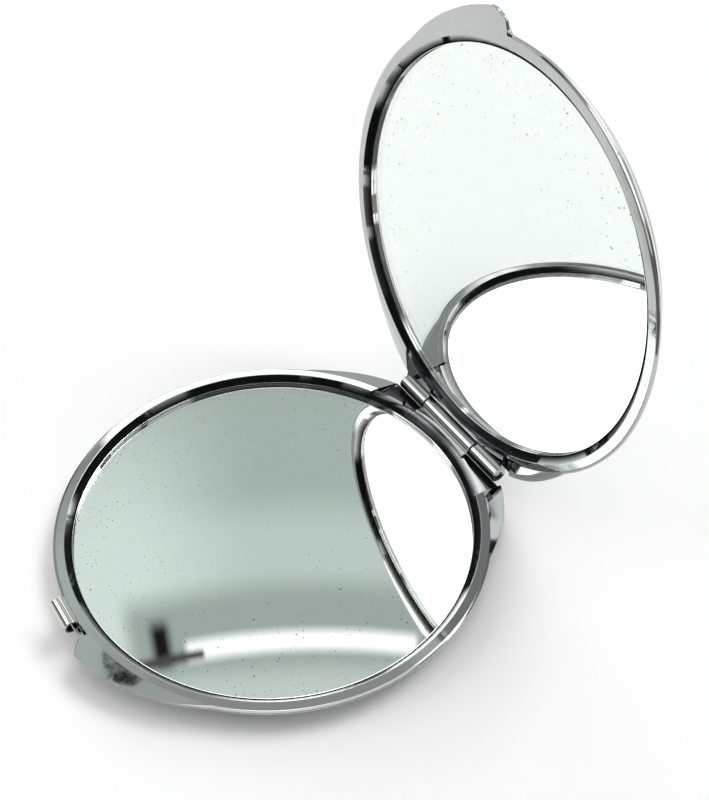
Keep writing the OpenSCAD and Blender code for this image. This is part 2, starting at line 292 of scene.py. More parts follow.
def ring_rows(angles, growth=0.0, slot=False, notch=False):
    """Sections in planes through the middle of the half. growth is how far the edge reaches
    beyond the ring: 0 on the plain ring, and the tab's outline on the tab."""
    one = np.ones_like(angles)
    growth = growth * one
    tab = smooth_step(growth / 0.8)
    edge = RING_RADIUS + growth
    chamfer, drop = mix(CHAMFER_WIDTH, TAB_BREAK, tab), mix(CHAMFER_DEPTH, TAB_BREAK, tab)
    low, high = SLOT_DEPTHS if slot else PLAIN_SLOT_DEPTHS
    inner = [SLOT_FLOOR] * 2 if slot else [bevel_radius(low), bevel_radius(high)]
    band, band_low = edge, TAB_EDGE
    if notch:
        band = NOTCH_Y / np.abs(np.sin(np.radians(angles)))
        band_low = BAND_DEPTH + (RING_RADIUS - band) * (HALF_THICKNESS - BAND_DEPTH) / BEVEL_INSET
        chamfer, drop = band - RIM_OUTER, (band - RIM_OUTER) * CHAMFER_DEPTH / CHAMFER_WIDTH
    radii = [0, FACE_RADIUS, bevel_radius(low), inner[0], inner[1], bevel_radius(high),
             bevel_radius(TAB_ROOT), band, band, band - chamfer,
             LOW_OUTER, RIM_INNER, SEAT_RADIUS, SEAT_RADIUS, 0]
    depths = [HALF_THICKNESS, HALF_THICKNESS, low, low, high, high,
              TAB_ROOT, band_low, np.maximum(drop, CHAMFER_START), RIM_FALL,
              RIM_FALL * LOW_SHARE, 0, LIP_DEPTH, SEAT_DEPTH, SEAT_DEPTH]
    radii = np.stack([r * one for r in radii], axis=1)
    depths = np.stack([d * one for d in depths], axis=1)
    return polar(radii, angles[:, None], depths)


tab_shares = [0, 0.13, 0.26, 0.39, 0.52, 0.65, 0.76, 0.83, 0.87, 0.9, 0.925, 0.95, 0.975, 1]
base_tab = [0, 0.145, 0.29, 0.435, 0.58, 0.72, 0.83, 0.91, 0.955, 0.965, 0.9, 0.76, 0.59, 0.36]
lid_tab = [0, 0.145, 0.285, 0.425, 0.55, 0.69, 0.8, 0.865, 0.885, 0.83, 0.735, 0.655, 0.55, 0.12]


def tab_rows(outline):
    """The tab's outline: it grows slowly from its start, turns at its tip, and drops to its end."""
    shares = np.concatenate([np.linspace(1, 0.82, 60), np.linspace(0.81, 0, 44)])
    growth = TAB_REACH * np.maximum(0, through(shares, tab_shares, outline))
    return ring_rows(-mix(TAB_START, TAB_END, shares), growth)


print("tab rows:", tab_rows(base_tab).shape)

# %% [markdown]
# Beside the hinge the sections no longer point at the middle of the half. A shoulder ends in a flat
# face across the hinge, so its sections fan round from radial to square with the hinge. Between
# the shoulders the rim is low, and behind it lies the floor of the pocket where the knuckles stand.

# %% Sections of the shoulders and the pocket
shoulder_shares = [0, 0.12, 0.25, 0.38, 0.5, 0.6, 0.7, 0.81, 0.91, 1]
shoulder_growth = [0, 0.12, 0.26, 0.41, 0.57, 0.69, 0.79, 0.88, 0.95, 1]


def shoulder_rows(end_x):
    """From the ring to the flat end face at x = end_x. A corner at radius r turns from the angle
    where the shoulder starts to acos(end_x / r), which lies in the end face."""
    shares = np.linspace(0, 1, 60) ** 0.9
    one = np.ones_like(shares)
    growth = SHOULDER_REACH * through(shares, shoulder_shares, shoulder_growth)
    edge = RING_RADIUS + np.maximum(0, growth)
    drop = mix(CHAMFER_DEPTH, SHOULDER_DROP, smooth_step(shares * 1.6) * 0.55 + shares * 0.45)
    low = mix(BAND_DEPTH, drop + SHOULDER_EDGE, smooth_step(shares * 6))
    first, second = PLAIN_SLOT_DEPTHS
    radii = [0, FACE_RADIUS, bevel_radius(first), bevel_radius(first), bevel_radius(second),
             bevel_radius(second), bevel_radius(SHOULDER_ROOT), edge, edge, RIM_OUTER,
             LOW_OUTER, RIM_INNER, SEAT_RADIUS, SEAT_RADIUS, 0]
    depths = [HALF_THICKNESS, HALF_THICKNESS, first, first, second,
              second, SHOULDER_ROOT, low, drop, RIM_FALL,
              RIM_FALL * LOW_SHARE, 0, LIP_DEPTH, SEAT_DEPTH, SEAT_DEPTH]
    radii = np.stack([r * one for r in radii], axis=1)
    depths = np.stack([d * one for d in depths], axis=1)
    first_angle = np.degrees(
        math.acos(math.cos(math.radians(SHOULDER_START)) + (end_x - SHOULDER_OFFSET) / RING_RADIUS)
    )
    last_angle = np.degrees(np.arccos(end_x / np.maximum(radii, FACE_RADIUS)))
    return polar(radii, mix(first_angle, last_angle, shares[:, None]), depths)


def pocket_rows(first_x, last_x):
    """Sections square with the hinge, one for each place x: y = sqrt(r^2 - x^2) on the round
    parts, and one straight line for the back of the pocket."""
    x = np.linspace(first_x, last_x, 60)
    one = np.ones_like(x)
    first, second = PLAIN_SLOT_DEPTHS
    radii = [FACE_RADIUS, bevel_radius(first), bevel_radius(first), bevel_radius(second),
             bevel_radius(second), bevel_radius(SHOULDER_ROOT)]
    depths = [HALF_THICKNESS, first, first, second, second, SHOULDER_ROOT]
    inner_radii = [LOW_OUTER, LOW_OUTER, LOW_INNER, SEAT_RADIUS, SEAT_RADIUS]
    inner_depths = [POCKET_DEPTH, LOW_DEPTH, LOW_DEPTH, LIP_DEPTH, SEAT_DEPTH]
    round_y = [np.sqrt(r * r - x * x) for r in radii]
    inner_y = [np.sqrt(r * r - x * x) for r in inner_radii]
    back = [POCKET_BACK * one] * 2
    back_depths = [SHOULDER_DROP + SHOULDER_EDGE, POCKET_DEPTH]
    y = np.stack([0 * one] + round_y + back + inner_y + [0 * one], axis=1)
    all_depths = [HALF_THICKNESS] + depths + back_depths + inner_depths + [SEAT_DEPTH]
    across = np.stack([0 * one] + [x] * (y.shape[1] - 2) + [0 * one], axis=1)
    heights = HALF_THICKNESS - np.array(all_depths) + 0 * y
    return np.stack([across, y, heights], axis=-1)


print("shoulder and pocket rows:", shoulder_rows(SHOULDER_OFFSET).shape, pocket_rows(13, -14).shape)

# %% [markdown]
# The rows are now strung together once round the half, from the front and back to it. The lower
# half has a slot in front for the spring strip. The lid has a small flat there, where the catch
# lies when the mirror is shut.

# %% One closed grid for a half
FRONT_HALF_ANGLE = 5.0
STEP = 1.0


def sweep(first, last):
    count = max(3, round(abs(last - first) / STEP))
    return np.linspace(first, last, count)


def half_grid(middle, outline, slot=False, notch=False):
    """All sections of one half. middle is the hinge's place along X, and outline the tab's."""
    right_end, left_end = SHOULDER_OFFSET + middle, SHOULDER_OFFSET - middle
    right = shoulder_rows(right_end)
    left = shoulder_rows(left_end)[::-1] * [-1, 1, 1]
    right_start = math.degrees(math.atan2(right[0, 7, 1], right[0, 7, 0]))
    left_start = math.degrees(math.atan2(left[-1, 7, 1], left[-1, 7, 0]))
    front = {"slot": slot, "notch": notch}
    segments = [
        ring_rows(sweep(-90, -90 + FRONT_HALF_ANGLE), **front),
        ring_rows(sweep(-90 + FRONT_HALF_ANGLE, -TAB_END)),
        tab_rows(outline),
        ring_rows(sweep(-TAB_START, right_start)),
        right,
        pocket_rows(right_end, -left_end),
        left,
        ring_rows(sweep(left_start, 270 - FRONT_HALF_ANGLE)),
        ring_rows(sweep(270 - FRONT_HALF_ANGLE, 270), **front),
    ]
    sections = rounded_sections(np.concatenate(segments), CORNER_RADII)
    ends = np.cumsum([len(s) for s in segments])[:-1]
    marks = sorted(int(k) for end in ends for k in (end - 1, end))
    return rounded_rows(sections, marks, 0.07)


def in_lid(points):
    """Puts points of a half into the opened lid: the half is turned over and swung about the pin."""
    x, y, z = np.moveaxis(points, -1, 0)
    back, under = y - AXIS_Y, AXIS_Z - z
    sine, cosine = math.sin(OPEN_ANGLE), math.cos(OPEN_ANGLE)
    places = [-x, AXIS_Y + back * cosine + under * sine, AXIS_Z - back * sine + under * cosine]
    return np.stack(places, axis=-1)


# %% [markdown]
# Painted shade darkens the chrome on the slope and wall round each mirror, and in the pocket behind
# the other half's knuckles. Each skin carries a value for that at every point, and the finish reads
# it later. A value on the points costs nothing, and it stays on the piece in every pose.

# %% Where painted shade darkens a half
RECESS_START, RECESS_RAMP = 0.04, 0.12
NEAR_AXIS, FAR_FROM_AXIS = 1.6, 2.1
END_FACE = 0.2


def skin_painted_shade(points, middle):
    """Painted shade: 1 on the slope and the wall inside the rim, from radius and depth, and 1 in the
    pocket near the hinge axis, falling to 0 farther from it. 0 elsewhere."""
    radius = np.hypot(points[..., 0], points[..., 1])
    depth = HALF_THICKNESS - points[..., 2]
    inside = (radius > SEAT_RADIUS - 0.2) & (radius < RIM_INNER + 0.02) & (depth < SEAT_DEPTH + 0.1)
    from_axis = np.hypot(points[..., 1] - AXIS_Y, points[..., 2] - AXIS_Z)
    pocket = np.abs(points[..., 0] - middle) < SHOULDER_OFFSET - END_FACE
    near = pocket * smooth_step((FAR_FROM_AXIS - from_axis) / (FAR_FROM_AXIS - NEAR_AXIS))
    return np.maximum(inside * smooth_step((depth - RECESS_START) / RECESS_RAMP), near)


# %% Both skins in place
base_half = half_grid(-HINGE_SHIFT, base_tab, slot=True)
lid_half = half_grid(HINGE_SHIFT, lid_tab, notch=True)
# Both skins carry painted shade on their points, on the slope round the mirror and in the pocket.
base_skin = make_piece("base_chrome_skin", [(base_half, True)],
                       skin_painted_shade(base_half, -HINGE_SHIFT))
lid_skin = make_piece("lid_chrome_skin", [(in_lid(lid_half), True)],
                      skin_painted_shade(lid_half, HINGE_SHIFT))
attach(base_skin, "base")
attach(lid_skin, "lid")
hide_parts("base_shell")
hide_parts("lid_shell")

# %% [markdown]
# ## Knuckles and pin
#
# The hinge has a long middle knuckle on the lower half and a shorter one at each end on the lid.
# Each is a barrel on a flat plate that runs back to the rim. The section is one outline, a flat
# tongue that ends in a round, carried along X. The tongue's inner end follows the curve of the rim.
# Each end closes over to the bore, and the bore runs a little way in, so that the pin shows in it.

# %% Knuckle surface
BARREL_RADIUS = 1.3
BORE_RADIUS = 0.65
BORE_DEPTH = 0.6
PLATE_THICKNESS = 1.15
PLATE_INNER = 32.1


def knuckle_outline(x):
    """The tongue and barrel at each place x: two straight lines and an arc about the hinge axis."""
    top = HALF_THICKNESS
    bottom = HALF_THICKNESS - PLATE_THICKNESS
    first = math.pi - math.asin((top - AXIS_Z) / BARREL_RADIUS)
    last = -math.pi - math.asin((bottom - AXIS_Z) / BARREL_RADIUS)
    arc = np.linspace(first, last, 72)
    one = np.ones((len(x), 1))
    inner = np.sqrt(PLATE_INNER**2 - x * x)[:, None]
    y = np.hstack([inner, one * (AXIS_Y + BARREL_RADIUS * np.cos(arc)), inner])
    z = np.hstack([one * top, one * (AXIS_Z + BARREL_RADIUS * np.sin(arc)), one * bottom])
    loop = np.stack([x[:, None] + 0 * y, y, z], axis=-1)
    between = np.concatenate([loop[:, -1:], loop, loop[:, :1]], axis=1)
    curves = [
        corner_curve(between[:, k], between[:, k + 1], between[:, k + 2], radius, 5)
        for k, radius in ((0, 0.06), (1, 0.12), (len(arc), 0.12), (len(arc) + 1, 0.06))
    ]
    first_end, first_foot, last_foot, last_end = (c.transpose(1, 0, 2) for c in curves)
    return np.concatenate([first_end, first_foot, loop[:, 2:-2], last_foot, last_end], axis=1)


def bore_circle(outline, x, radius):
    """A circle about the hinge axis with one point for each point of the outline, at its angle."""
    angle = np.arctan2(outline[:, 2] - AXIS_Z, outline[:, 1] - AXIS_Y)
    y, z = AXIS_Y + radius * np.cos(angle), AXIS_Z + radius * np.sin(angle)
    return np.stack([x + 0 * y, y, z], axis=-1)


def knuckle_grid(first, last, bore_depth=BORE_DEPTH):
    """Rows from the bottom of one bore, over the end face, along the barrel, and into the other."""
    along = knuckle_outline(np.linspace(first, last, 40))
    along = np.concatenate([along, along[:, :1]], axis=1)
    starts = [(first + bore_depth, TINY), (first + bore_depth, BORE_RADIUS), (first, BORE_RADIUS)]
    ends = [(last, BORE_RADIUS), (last - bore_depth, BORE_RADIUS), (last - bore_depth, TINY)]
    before = [bore_circle(along[0], x, r) for x, r in starts]
    after = [bore_circle(along[-1], x, r) for x, r in ends]
    grid = np.concatenate([before, along, after])
    count = len(grid)
    return rounded_rows(grid, [2, 3, count - 4, count - 3], 0.09)


# %% Painted shade on the knuckles
SHADE_FIRST_ANGLE = -80
SHADE_ANGLE_RAMP = 15
MIDDLE_SHADE_ANGLE, OUTER_SHADE_ANGLE = 72, 122
# The flat plate is darkened by this plain share.
PLATE_DARKENING = 0.3


def knuckle_painted_shade(grid, limit):
    """Painted shade: 1 on the side of the barrel that faces the other half, from the angle about the
    hinge axis in degrees, between a first angle and limit. The flat plate is darkened by a plain share
    of its own. This is set for the rest pose, and with the lid shut or flat open the knuckles look too
    dark."""
    y, z = grid[..., 1] - AXIS_Y, grid[..., 2] - AXIS_Z
    angle = np.degrees(np.arctan2(z, y))
    low_side = smooth_step((angle - SHADE_FIRST_ANGLE) / SHADE_ANGLE_RAMP)
    facing = low_side * smooth_step((limit - angle) / SHADE_ANGLE_RAMP)
    plate = PLATE_DARKENING * smooth_step((-y - BARREL_RADIUS) / 0.1)
    return np.maximum(facing, plate)


# %% Knuckles in place
MIDDLE_KNUCKLE = 12.2
OUTER_KNUCKLE = 6.25
KNUCKLE_GAP = 0.25
outer_first = MIDDLE_KNUCKLE / 2 + KNUCKLE_GAP
outer_last = outer_first + OUTER_KNUCKLE

# The barrels carry painted shade on their side that faces the other half.
middle_grid = knuckle_grid(-HINGE_SHIFT - MIDDLE_KNUCKLE / 2, -HINGE_SHIFT + MIDDLE_KNUCKLE / 2)
base_knuckle = make_piece(
    "base_knuckle_skin", [(middle_grid, False)], knuckle_painted_shade(middle_grid, MIDDLE_SHADE_ANGLE))
outer_grids = [
    knuckle_grid(HINGE_SHIFT - outer_last, HINGE_SHIFT - outer_first),
    knuckle_grid(HINGE_SHIFT + outer_first, HINGE_SHIFT + outer_last),
]
outer_painted_shade = np.stack([knuckle_painted_shade(grid, OUTER_SHADE_ANGLE) for grid in outer_grids])
lid_knuckles = make_piece(
    "lid_knuckle_skins", [(in_lid(grid), False) for grid in outer_grids], outer_painted_shade)
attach(base_knuckle, "base")
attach(lid_knuckles, "lid")

# %% [markdown]
# Round pieces are lathed: a profile of radius and place along an axis, turned a full circle. The
# profile's corners are rounded first. The hinge pin is one such piece, with crowned ends.

# %% Lathe
def lathe(profile, radii, turns=240, steps=5):
    """Points (turns, profile, 3) of a profile of (radius, height) turned about Z. Angle goes
    round the rows and the profile along them: x = r cos a, y = r sin a, z = h."""
    corners = np.array([[[r, 0, h] for r, h in profile]], float)
    section = rounded_sections(corners, radii, steps)[0]
    angle = np.linspace(0, 2 * math.pi, turns, endpoint=False)[:, None]
    r, h = section[:, 0], section[:, 2]
    return np.stack([r * np.cos(angle), r * np.sin(angle), h + 0 * angle], axis=-1)


PIN_RADIUS = 0.6
PIN_LENGTH = 2 * (outer_last - 0.2)
pin_profile = [(0, -PIN_LENGTH / 2), (PIN_RADIUS, -PIN_LENGTH / 2), (PIN_RADIUS, PIN_LENGTH / 2),
               (0, PIN_LENGTH / 2)]
pin_points = lathe(pin_profile, [0.2, 0.2], turns=64)
pin_points = pin_points[..., [2, 0, 1]] + [-HINGE_SHIFT, AXIS_Y, AXIS_Z]
pin = make_piece("hinge_pin_turned", [(pin_points, True)])
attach(pin, "base")
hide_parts("hinge_pin")

# %% [markdown]
# ## Mirrors
#
# Each mirror is a disc of float glass, silvered on its back and glued on a thin foam pad. What one
# sees in it is the silver, through the thickness of the glass: that is why the rim's reflection
# starts a little way off from the rim itself. A single shiny disc would lose that, so the glass and
# the silver are two pieces. The silver bites a hair into the glass, so that no two faces coincide.
# Old silver lifts from its edge inwards, so its points carry a value that rises near the edge.

# %% Glass and silvering
GLASS_RADIUS = 30.35
GLASS_BACK, GLASS_FRONT = 2.05, 3.35
GLASS_CHAMFER = 0.08
SILVER_BACK = 1.95
SILVER_BITE = 0.02
LIFT_START, LIFT_RAMP = 28.9, 1.4

glass_profile = [
    (0, GLASS_BACK), (GLASS_RADIUS, GLASS_BACK), (GLASS_RADIUS, GLASS_FRONT - GLASS_CHAMFER),
    (GLASS_RADIUS - GLASS_CHAMFER, GLASS_FRONT), (0, GLASS_FRONT),
]
glass_points = lathe(glass_profile, [0.04, 0.05, 0.05], turns=360)
silver_radius = GLASS_RADIUS - GLASS_CHAMFER
silver_profile = [
    (0, SILVER_BACK), (silver_radius, SILVER_BACK),
    (silver_radius, GLASS_BACK + SILVER_BITE), (0, GLASS_BACK + SILVER_BITE),
]
silver_points = lathe(silver_profile, [0.02, 0.02], turns=360)
base_glass = make_piece("base_glass_disc", [(glass_points, True)])
lid_glass = make_piece("lid_glass_disc", [(in_lid(glass_points), True)])
silver_reach = np.hypot(silver_points[..., 0], silver_points[..., 1])
silver_edge = smooth_step((silver_reach - LIFT_START) / LIFT_RAMP)
base_silver = make_piece("base_silver_coat", [(silver_points, True)], silver_edge)
lid_silver = make_piece("lid_silver_coat", [(in_lid(silver_points), True)], silver_edge)
for piece, body, node in (
    (base_glass, "base", "base_mirror_glass"),
    (lid_glass, "lid", "lid_mirror_glass"),
    (base_silver, "base", "base_mirror_silvering"),
    (lid_silver, "lid", "lid_mirror_silvering"),
):
    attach(piece, body)
    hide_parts(node)

# %% [markdown]
# ## Catch
#
# The catch is a strip of spring steel. Its foot is riveted under the lower mirror, it leaves
# through a slot in the front wall, runs up the outside, and its end is rolled into a tube that snaps
# over the lid's edge. The strip is one path in the plane across the catch, and a flat section with
# small round edges is carried along it. The inside of the roll is darkened with painted shade. Here
# the slot is only a blind recess, and the foot inside is the CAD's own piece.

# %% Path of the strip
ROLL_Y, ROLL_Z = -33.83, 5.3
ROLL_RADIUS = 1.12
STRIP = 0.4
STRIP_GAP = 0.2
FLEX_Y, FLEX_Z = -30.8, 1.55
ROLL_HALF_LENGTH = 2.5

bevel_slope = math.atan2(BEVEL_INSET, HALF_THICKNESS - BAND_DEPTH)
strip_offset = STRIP_GAP + STRIP / 2
upright_y = -(RING_RADIUS + strip_offset)
turn_z = HALF_THICKNESS - BAND_DEPTH - strip_offset * math.tan(bevel_slope / 2)
leave_y = -(bevel_radius(HALF_THICKNESS - FLEX_Z) + strip_offset / math.cos(bevel_slope))
roll_middle = ROLL_RADIUS - STRIP / 2
roll_start = -math.acos((upright_y - ROLL_Y) / roll_middle)
roll_end = 2 * math.pi - math.acos((upright_y - STRIP / 2 - 0.12 - ROLL_Y) / roll_middle)


def strip_path():
    """Points (n, 2) of y and z: straight runs with round bends, then most of a circle."""
    join_z = ROLL_Z + roll_middle * math.sin(roll_start)
    corners = np.array([
        [FLEX_Y, FLEX_Z], [leave_y, FLEX_Z], [upright_y, turn_z], [upright_y, join_z],
        [ROLL_Y + roll_middle * math.cos(roll_start + 0.5),
         ROLL_Z + roll_middle * math.sin(roll_start + 0.5)],
    ])
    bends = [corner_curve(corners[k - 1], corners[k], corners[k + 1], radius, 9)
             for k, radius in ((1, 0.5), (2, 0.6), (3, 0.25))]
    angle = np.linspace(roll_start + 0.35, roll_end, 90)
    roll = np.stack([ROLL_Y + roll_middle * np.cos(angle), ROLL_Z + roll_middle * np.sin(angle)], 1)
    return np.concatenate([corners[:1], *bends, roll])


path = strip_path()
print("strip length in mm:", round(float(np.linalg.norm(np.diff(path, axis=0), axis=1).sum()), 2))

# %% Catch as a swept strip
def swept_strip(path, half_width, thickness, edge=0.08):
    """Carries a rounded rectangle along a path in the YZ plane: p = path + n * thickness offset
    + X * width offset, where n is the path's normal. Both ends close to a line across the strip."""
    tangent = np.gradient(path, axis=0)
    tangent /= np.linalg.norm(tangent, axis=1, keepdims=True)
    normal = np.stack([-tangent[:, 1], tangent[:, 0]], axis=1)
    w, t = half_width, thickness / 2
    box = np.array([[[w, t, 0], [-w, t, 0], [-w, -t, 0], [w, -t, 0]]], float)
    ring = [corner_curve(box[:, k - 1], box[:, k], box[:, (k + 1) % 4], edge, 5)[:, 0]
            for k in range(4)]
    ring = np.concatenate(ring + [ring[0][:1]])
    across, off = ring[:, 0], ring[:, 1]
    y = path[:, :1] + normal[:, :1] * off
    z = path[:, 1:] + normal[:, 1:] * off
    body = np.stack([across + 0 * y, y, z], axis=-1)
    caps = [np.stack([across, row[0] + 0 * across, row[1] + 0 * across], axis=-1)
            for row in (path[0], path[-1])]
    grid = np.concatenate([caps[:1], body, caps[1:]])
    return rounded_rows(grid, [1, len(grid) - 2], edge)


catch_grid = swept_strip(path, ROLL_HALF_LENGTH, STRIP)
# Painted shade inside the roll: its finish is darkened there.
from_roll = np.hypot(catch_grid[..., 1] - ROLL_Y, catch_grid[..., 2] - ROLL_Z)
in_bore = smooth_step((ROLL_RADIUS - STRIP * 0.5 - from_roll) / (STRIP * 0.4))
catch = make_piece("latch_rolled_strip", [(catch_grid, False)], in_bore)
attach(catch, "latch")
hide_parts("latch_roll")

# %% [markdown]
# ## Finishes
#
# Chrome plate is thin and follows the casting under it, so it isn't a perfect mirror: it waves a
# little, it has a faint haze and cloudy patches, and handling leaves a few pits. All of these are
# worked out from the place on the object, in its own coordinates, so that they stay put from every
# side and in every pose. Painted shade is laid over the chrome as a dark colour and a second, dark
# and plain shader, mixed in by the value that the points carry.

# %% Node helpers
def new_material(name):
    material = bpy.data.materials.new(name)
    material.use_nodes = True
    tree = material.node_tree
    tree.nodes.clear()
    return material, tree


def add(tree, kind, inputs=None, **settings):
    """A node with its settings and its inputs. An input is a value, or another node's socket."""
    node = tree.nodes.new(kind)
    for key, value in settings.items():
        setattr(node, key, value)
    for key, value in (inputs or {}).items():
        if isinstance(value, bpy.types.NodeSocket):
            tree.links.new(value, node.inputs[key])
        else:
            node.inputs[key].default_value = value
    return node


def noise(tree, place, scale, detail=3.0, roughness=0.5):
    inputs = {"Vector": place, "Scale": scale, "Detail": detail, "Roughness": roughness}
    return add(tree, "ShaderNodeTexNoise", inputs).outputs["Fac"]


def spread(tree, value, low, high, first=0.0, last=1.0):
    """Maps low..high smoothly to first..last."""
    inputs = {"Value": value, "From Min": low, "From Max": high, "To Min": first, "To Max": last}
    return add(tree, "ShaderNodeMapRange", inputs, interpolation_type="SMOOTHSTEP").outputs["Result"]


def combine(tree, operation, first, second):
    node = add(tree, "ShaderNodeMath", {0: first, 1: second}, operation=operation)
    return node.outputs["Value"]


def tint(tree, share, first, last):
    """A colour between two, by a share from 0 to 1."""
    node = add(tree, "ShaderNodeMix", {"Factor": share}, data_type="RGBA")
    for socket, colour in (("A", first), ("B", last)):
        found = [s for s in node.inputs if s.name == socket and s.type == "RGBA"][0]
        if isinstance(colour, bpy.types.NodeSocket):
            tree.links.new(colour, found)
        else:
            found.default_value = (*colour, 1.0)
    return [s for s in node.outputs if s.type == "RGBA"][0]


def object_place(tree):
    return add(tree, "ShaderNodeTexCoord").outputs["Object"]


# %% Chrome
# Painted shade: the dark colour and the dark plain shader that darken grooves, the hinge pocket, the
# knuckles and the inside of the catch's roll.
PAINTED_SHADE_COLOUR = (0.05, 0.055, 0.055)
PAINTED_SHADE_FILM = (0.015, 0.017, 0.018)
PAINTED_SHADE_COVER = 0.7


def chrome_material(name, colour, dull, roughness, rough_spread, wave):
    """Bright metal: waves a few millimetres long, fine haze, cloudy patches, small dark pits, and
    painted shade.
    """
    material, tree = new_material(name)
    place = object_place(tree)
    haze = noise(tree, place, 420.0, 4.0, 0.6)
    cloud = noise(tree, place, 90.0, 3.0)
    speck = noise(tree, place, 1900.0, 2.0)
    pits = spread(tree, speck, 0.72, 0.78)
    body = tint(tree, spread(tree, cloud, 0.35, 0.7), colour, [c * dull for c in colour])
    body = tint(tree, pits, body, (0.22, 0.22, 0.22))
    # Painted shade: the chrome is darkened where the points carry a share of it, patchy with the cloud.
    groove = add(tree, "ShaderNodeAttribute", attribute_name="shade_and_wear").outputs["Fac"]
    painted_shade = combine(tree, "MULTIPLY", groove, spread(tree, cloud, 0.2, 0.5, 0.75, 1.0))
    body = tint(tree, painted_shade, body, PAINTED_SHADE_COLOUR)
    rough = combine(tree, "ADD", spread(tree, haze, 0.35, 0.75, roughness, roughness + rough_spread),
                    combine(tree, "MULTIPLY", pits, 0.3))
    long_wave = add(tree, "ShaderNodeBump", {
        "Height": noise(tree, place, 150.0, 1.0), "Strength": wave, "Distance": 0.0002})
    fine_wave = add(tree, "ShaderNodeBump", {
        "Height": haze, "Strength": wave * 0.5, "Distance": 0.00002,
        "Normal": long_wave.outputs["Normal"]})
    metal = add(tree, "ShaderNodeBsdfPrincipled", {
        "Base Color": body, "Metallic": 1.0, "Roughness": rough,
        "Normal": fine_wave.outputs["Normal"]})
    shade_film = add(tree, "ShaderNodeBsdfDiffuse", {"Color": (*PAINTED_SHADE_FILM, 1.0)})
    mixed = add(tree, "ShaderNodeMixShader", {
        "Fac": combine(tree, "MULTIPLY", painted_shade, PAINTED_SHADE_COVER), 1: metal.outputs["BSDF"],
        2: shade_film.outputs["BSDF"]})
    add(tree, "ShaderNodeOutputMaterial", {"Surface": mixed.outputs["Shader"]})
    return material


chrome = chrome_material("chrome_plate", (0.53, 0.545, 0.545), 0.94, 0.03, 0.05, 0.25)
spring = chrome_material("nickel_spring_strip", (0.72, 0.72, 0.71), 0.9, 0.06, 0.05, 0.2)
steel = chrome_material("turned_pin_steel", (0.42, 0.42, 0.42), 0.85, 0.22, 0.12, 0.3)


# %% Silver, glass and pad
def silver_material():
    """The coat under the glass: bright and smooth, with tiny dark spots where it has lifted. A
    share added near the edge makes them likelier there."""
    material, tree = new_material("mirror_silver")
    place = object_place(tree)
    edge = add(tree, "ShaderNodeAttribute", attribute_name="shade_and_wear").outputs["Fac"]
    speck = combine(tree, "ADD", noise(tree, place, 2600.0, 2.0),
                    combine(tree, "MULTIPLY", edge, 0.07))
    spots = spread(tree, speck, 0.765, 0.79)
    colour = tint(tree, spots, (0.965, 0.975, 0.97), (0.05, 0.05, 0.05))
    metal = add(tree, "ShaderNodeBsdfPrincipled", {
        "Base Color": colour, "Metallic": 1.0, "Roughness": 0.0})
    add(tree, "ShaderNodeOutputMaterial", {"Surface": metal.outputs["BSDF"]})
    return material


def glass_material():
    """Float glass, faintly green, with a trace of dust on it."""
    material, tree = new_material("float_glass")
    place = object_place(tree)
    dust = spread(tree, noise(tree, place, 2200.0, 2.0), 0.74, 0.78)
    clear = add(tree, "ShaderNodeBsdfPrincipled", {
        "Base Color": (0.955, 0.992, 0.977, 1.0), "Roughness": 0.0,
        "IOR": 1.5, "Transmission Weight": 1.0})
    grey = add(tree, "ShaderNodeBsdfDiffuse", {"Color": (0.8, 0.8, 0.78, 1.0)})
    mixed = add(tree, "ShaderNodeMixShader", {
        "Fac": combine(tree, "MULTIPLY", dust, 0.5), 1: clear.outputs["BSDF"],
        2: grey.outputs["BSDF"]})
    add(tree, "ShaderNodeOutputMaterial", {"Surface": mixed.outputs["Shader"]})
    return material


def pad_material():
    """White foam: fine cells as a bump, and a little colour from one place to the next."""
    material, tree = new_material("foam_pad")
    place = object_place(tree)
    cells = add(tree, "ShaderNodeTexVoronoi", {"Vector": place, "Scale": 3200.0})
    bump = add(tree, "ShaderNodeBump", {
        "Height": cells.outputs["Distance"], "Strength": 0.5, "Distance": 0.0001})
    colour = tint(tree, noise(tree, place, 300.0), (0.86, 0.86, 0.83), (0.76, 0.76, 0.73))
    foam = add(tree, "ShaderNodeBsdfPrincipled", {
        "Base Color": colour, "Roughness": 0.9, "Normal": bump.outputs["Normal"]})
    add(tree, "ShaderNodeOutputMaterial", {"Surface": foam.outputs["BSDF"]})
    return material


silver, glass, pad = silver_material(), glass_material(), pad_material()


# %% Every piece takes its finish
def dress(piece, material):
    piece.data.materials.clear()
    piece.data.materials.append(material)


for piece in (base_skin, lid_skin, base_knuckle, lid_knuckles):
    dress(piece, chrome)
for piece in (base_glass, lid_glass):
    dress(piece, glass)
for piece in (base_silver, lid_silver):
    dress(piece, silver)
dress(pin, steel)
dress(catch, spring)
for node, material in (
    ("base_mirror_pad", pad), ("lid_mirror_pad", pad),
    ("latch_foot", spring), ("latch_rivet", steel),
):
    dress(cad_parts[node], material)
print("materials:", sorted(m.name for m in bpy.data.materials))

# %% [markdown]
# ## Studio
#
# A mirror shows the studio, so the studio is set as carefully as the object. It isn't a plain one.
# The sky is drawn by azimuth and elevation, as soft-edged zones painted one over another. It is
# bright overhead, with a strong soft light behind and to the right. Behind the mirror it is grey,
# with one long bright band, a narrow dark upright and a low light. Round the camera it is dark,
# which gives the chrome its black lines, and to the left of the camera there are bright areas. The
# zones are set for the rest pose and this view, so the chrome may look off under another
# light. They also light the floor. Their shades are chosen so that all of them together light it at
# a plain level, at which a colour renders about as it is written.

